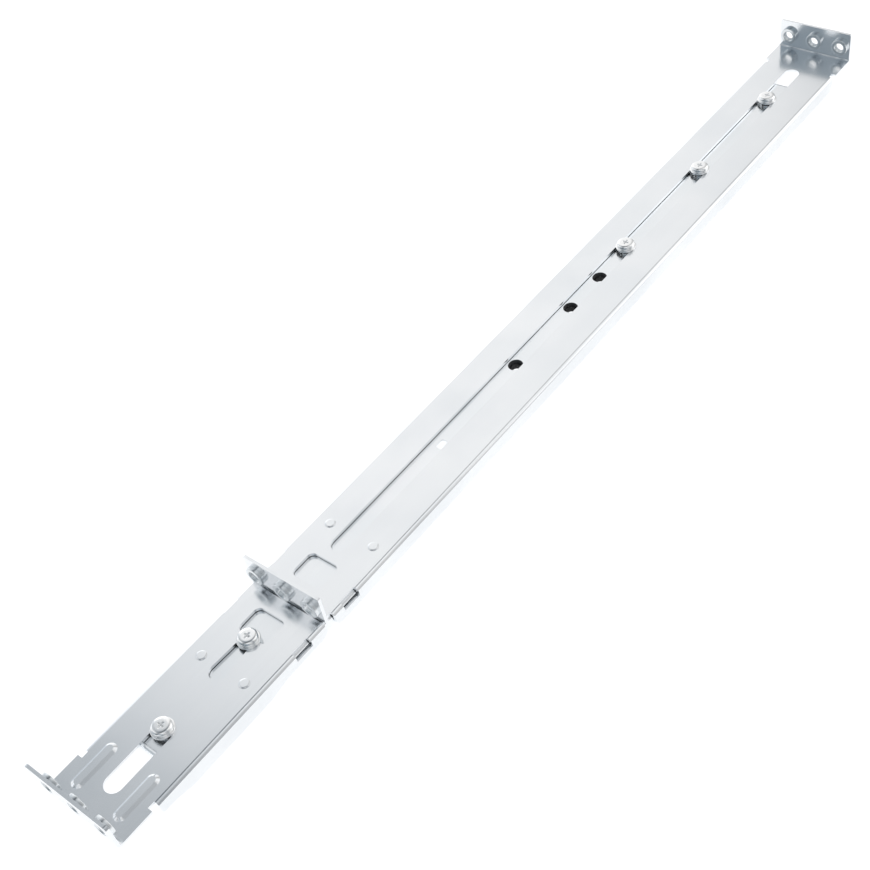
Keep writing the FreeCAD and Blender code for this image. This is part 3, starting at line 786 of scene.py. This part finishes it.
# %% Floor and tent
FLOOR_DROP = 0.05 * MM
FLOOR_REACH = 4.0
FLOOR_GLOW = 0.76
STREAK_SIZE = 120 * MM
HEIGHT_TONES = [(0.0, "ffffff"), (1.0, "989da2"), (0.82, "ffffff"), (0.88, "b0b5ba")]
SIDE_TONES = [(0.0, "6c7881"), (1.0, "ffffff"), (0.115, "9eaab2"), (0.20, "c4cad0"),
              (0.335, "ffffff"), (0.45, "dadde0"), (0.525, "b4b9be"), (0.57, "b8bdc1"),
              (0.59, "d0d4d8"), (0.61, "eceef0"), (0.64, "ffffff")]
SEAM_TONES = [(0.50, "ffffff"), (0.70, "ffffff"), (0.55, "c0c4c8"), (0.64, "c0c4c8")]
KEY_WINDOW = (0.80, -0.50, 0.33)    # towards the bright window on the short side, far end
KEY_EDGE = (0.86, 0.95)             # where the window's glow begins and is full
KEY_STRENGTH = 0.05
RIM_WINDOW = (0.25, 0.95, 0.18)     # towards the low bright strip beyond the long side
RIM_EDGE = (0.80, 0.92)
RIM_STRENGTH = 0.45
LONG_SIDE = 0.15                    # from here on the height's tones are in full
SHORT_SIDE = (-0.75, -0.35)         # between these the short side's shade fades out
SHORT_SIDE_SHADE = 0.62             # the tent's wall on the short side is a calmer grey
LAMP_PLACE = (1.4, -0.85, 0.55)
LAMP_BACK = (1.1, -0.85, 0.55)      # the lamp shines away from this direction
LAMP_POWER = 1.5
LAMP_SIZE = 1.0


def floor_finish():
    """White acrylic lit from below: half of its light is its own, half falls on it from above."""
    material = bpy.data.materials.new("white acrylic lightbox sheet")
    material.use_nodes = True
    tree = material.node_tree
    tree.nodes.clear()
    place = add_node(tree, "ShaderNodeTexCoord").outputs["Object"]
    streaks = noise(tree, place, STREAK_SIZE, 1.0)
    tint = ramp(tree, streaks, list(zip(TINT_SPAN, ("fdfdfd", "ffffff"))))
    grey = ramp(tree, streaks, list(zip(TINT_SPAN, ("c4c4c4", "c6c6c6"))))
    glow = add_node(tree, "ShaderNodeEmission", {"Strength": FLOOR_GLOW}, {"Color": tint})
    lit = add_node(tree, "ShaderNodeBsdfDiffuse", links={"Color": grey})
    both = add_node(tree, "ShaderNodeAddShader")
    tree.links.new(glow.outputs["Emission"], both.inputs[0])
    tree.links.new(lit.outputs["BSDF"], both.inputs[1])
    add_node(tree, "ShaderNodeOutputMaterial", links={"Surface": both.outputs["Shader"]})
    return material


floor_z = CAD_BOX[0][2] - FLOOR_DROP
corners = [(x * FLOOR_REACH, y * FLOOR_REACH, floor_z)
           for x, y in ((-1, -1), (1, -1), (1, 1), (-1, 1))]
floor_mesh = bpy.data.meshes.new("lightbox_floor")
floor_mesh.from_pydata(corners, [], [(0, 1, 2, 3)])
floor = bpy.data.objects.new("lightbox_floor", floor_mesh)
bpy.context.scene.collection.objects.link(floor)
floor.data.materials.append(floor_finish())

world = bpy.data.worlds.new("light tent")
bpy.context.scene.world = world
world.use_nodes = True
sky = world.node_tree
sky.nodes.clear()
direction = add_node(sky, "ShaderNodeTexCoord").outputs["Generated"]
parts = add_node(sky, "ShaderNodeSeparateXYZ", links={"Vector": direction})
height = ramp(sky, parts.outputs["Z"], HEIGHT_TONES)
along = add_node(sky, "ShaderNodeMapRange", {"From Min": -1.0}, {"Value": parts.outputs["X"]})
side = ramp(sky, along.outputs["Result"], SIDE_TONES)
beyond = add_node(sky, "ShaderNodeMapRange", {"From Max": LONG_SIDE},
                  {"Value": parts.outputs["Y"]})
tent = add_node(sky, "ShaderNodeMix", links={"Factor": beyond.outputs["Result"]},
                data_type="RGBA", blend_type="MULTIPLY")
sky.links.new(side, tent.inputs[6])
sky.links.new(height, tent.inputs[7])
key = add_node(sky, "ShaderNodeVectorMath", {1: KEY_WINDOW}, {0: direction},
               operation="DOT_PRODUCT")
rim = add_node(sky, "ShaderNodeVectorMath", {1: RIM_WINDOW}, {0: direction},
               operation="DOT_PRODUCT")
key_glow = ramp(sky, key.outputs["Value"], list(zip(KEY_EDGE, ("000000", "ffffff"))))
rim_glow = ramp(sky, rim.outputs["Value"], list(zip(RIM_EDGE, ("000000", "ffffff"))))
short_side = add_node(sky, "ShaderNodeMapRange",
                      {"From Min": SHORT_SIDE[0], "From Max": SHORT_SIDE[1],
                       "To Min": SHORT_SIDE_SHADE},
                      {"Value": parts.outputs["Y"]})
keyed = add_node(sky, "ShaderNodeMath", {1: KEY_STRENGTH},
                 {0: key_glow, 2: short_side.outputs[0]}, operation="MULTIPLY_ADD")
lit_tent = add_node(sky, "ShaderNodeMath", {1: RIM_STRENGTH}, {0: rim_glow, 2: keyed.outputs[0]},
                    operation="MULTIPLY_ADD")
across = add_node(sky, "ShaderNodeMapRange", {"From Min": -1.0}, {"Value": parts.outputs["Y"]})
seam = ramp(sky, across.outputs["Result"], SEAM_TONES)
strength = add_node(sky, "ShaderNodeMath", links={0: lit_tent.outputs[0], 1: seam},
                    operation="MULTIPLY")
backdrop = add_node(sky, "ShaderNodeBackground",
                    links={"Color": tent.outputs[2], "Strength": strength.outputs[0]})
add_node(sky, "ShaderNodeOutputWorld", links={"Surface": backdrop.outputs["Background"]})

lamp_data = bpy.data.lights.new("soft lamp", "AREA")
lamp_data.energy = LAMP_POWER
lamp_data.size = LAMP_SIZE
lamp = bpy.data.objects.new("soft lamp", lamp_data)
bpy.context.scene.collection.objects.link(lamp)
turn = Vector(LAMP_BACK).to_track_quat("Z", "Y").to_matrix().to_4x4()
lamp.matrix_world = Matrix.Translation(LAMP_PLACE) @ turn
print("floor at", round(floor_z, 5))

# %% [markdown]
# ## Camera
# A medium lens above and in front of the rail's front flange, looking along it. The pose is a
# place and three axes: right, up and back.

# %% Camera
CAMERA_PLACE = (-0.06541, -0.31304, 0.43385)
CAMERA_RIGHT = (0.612801, -0.774796, -0.155451)
CAMERA_UP = (0.635394, 0.366141, 0.679865)
CAMERA_BACK = (-0.469840, -0.515395, 0.716672)
SENSOR = 36.0                   # mm, as the lens
LENS = 55.377
SHIFT = (0.00323, 0.00499)
NEAREST = 0.01

camera_data = bpy.data.cameras.new("camera")
camera_data.sensor_width = SENSOR
camera_data.lens = LENS
camera_data.shift_x, camera_data.shift_y = SHIFT
camera_data.clip_start = NEAREST
camera = bpy.data.objects.new("camera", camera_data)
bpy.context.scene.collection.objects.link(camera)
axes = Matrix((CAMERA_RIGHT, CAMERA_UP, CAMERA_BACK)).transposed().to_4x4()
camera.matrix_world = Matrix.Translation(CAMERA_PLACE) @ axes
bpy.context.scene.camera = camera
bpy.context.scene.view_settings.view_transform = "Standard"
print("lens", camera_data.lens, "mm")

# %% [markdown]
# ## Last update
# Last, we bring the view layer up to date, so that every piece stands where it was placed.

# %% Last update
bpy.context.view_layer.update()
